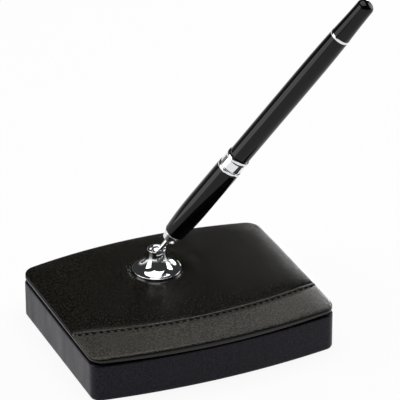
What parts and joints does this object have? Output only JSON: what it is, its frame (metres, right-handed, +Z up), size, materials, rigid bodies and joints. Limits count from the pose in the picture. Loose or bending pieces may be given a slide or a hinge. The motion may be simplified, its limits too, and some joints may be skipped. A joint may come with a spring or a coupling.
{
  "type": "pen stand",
  "caption": "Desk pen stand: bowed leather-covered base with a padded stitched panel, a slotted ball swivel and a pen that lifts out of its socket.",
  "frame": {"origin": "middle of the footprint, on the desk under the felt", "axes": "+X along the base's long side, +Y to the back, +Z up"},
  "size_m": [0.1723, 0.129, 0.2134],
  "materials": {
    "felt": "pressed wool felt, matt",
    "core_wood": "fibreboard, sanded",
    "black_board": "hardboard, black stain",
    "foam": "thin upholstery foam",
    "panel_leather": "black grained leather, satin",
    "strip_leather": "black smooth leather, satin",
    "side_leather": "black grained leather, satin",
    "thread": "waxed black thread",
    "chrome": "polished chrome plate",
    "nylon": "moulded nylon",
    "steel": "zinc-plated steel",
    "brass": "turned brass",
    "black_lacquer": "black resin, polished",
    "liner_plastic": "moulded liner, matt black"
  },
  "bodies": {
    "base": {"base_felt": "felt", "base_core": "core_wood", "side_leather": "side_leather", "reveal_board": "black_board", "panel_board": "black_board", "panel_foam": "foam", "top_leather": "panel_leather", "front_leather": "strip_leather", "seam_stitches": "thread", "swivel_bell": "chrome", "friction_spring": "steel", "mounting_stud": "steel", "stud_washer": "steel", "stud_nut": "steel"},
    "swivel": {"friction_cup": "nylon"},
    "socket": {"ball_stem": "chrome", "socket_ferrule": "chrome", "socket_shell": "black_lacquer", "socket_liner": "liner_plastic", "trim_ring": "chrome", "mouth_band": "chrome"},
    "pen": {"pen_barrel": "black_lacquer", "tail_ring": "chrome", "tail_cap": "black_lacquer", "barrel_bush": "brass", "grip_ring": "chrome", "pen_grip": "black_lacquer", "nose_cone": "chrome", "refill_body": "steel", "refill_tip": "brass", "refill_plug": "nylon", "refill_spring": "steel"}
  },
  "joints": [
    {"name": "swivel_pan", "type": "hinge", "parent": "base", "child": "swivel", "pos_m": [-0.0034, 0.0225, 0.04004], "axis": [0, 0, 1], "continuous": true},
    {"name": "swivel_tilt", "type": "hinge", "parent": "swivel", "child": "socket", "pos_m": [-0.0034, 0.0225, 0.04004], "axis": [0.6018, 0.7986, 0], "range_deg": [-70, 0]},
    {"name": "pen_lift", "type": "slide", "parent": "socket", "child": "pen", "axis": [0.4609, -0.3473, 0.8166], "range_m": [0, 0.06]}
  ]
}
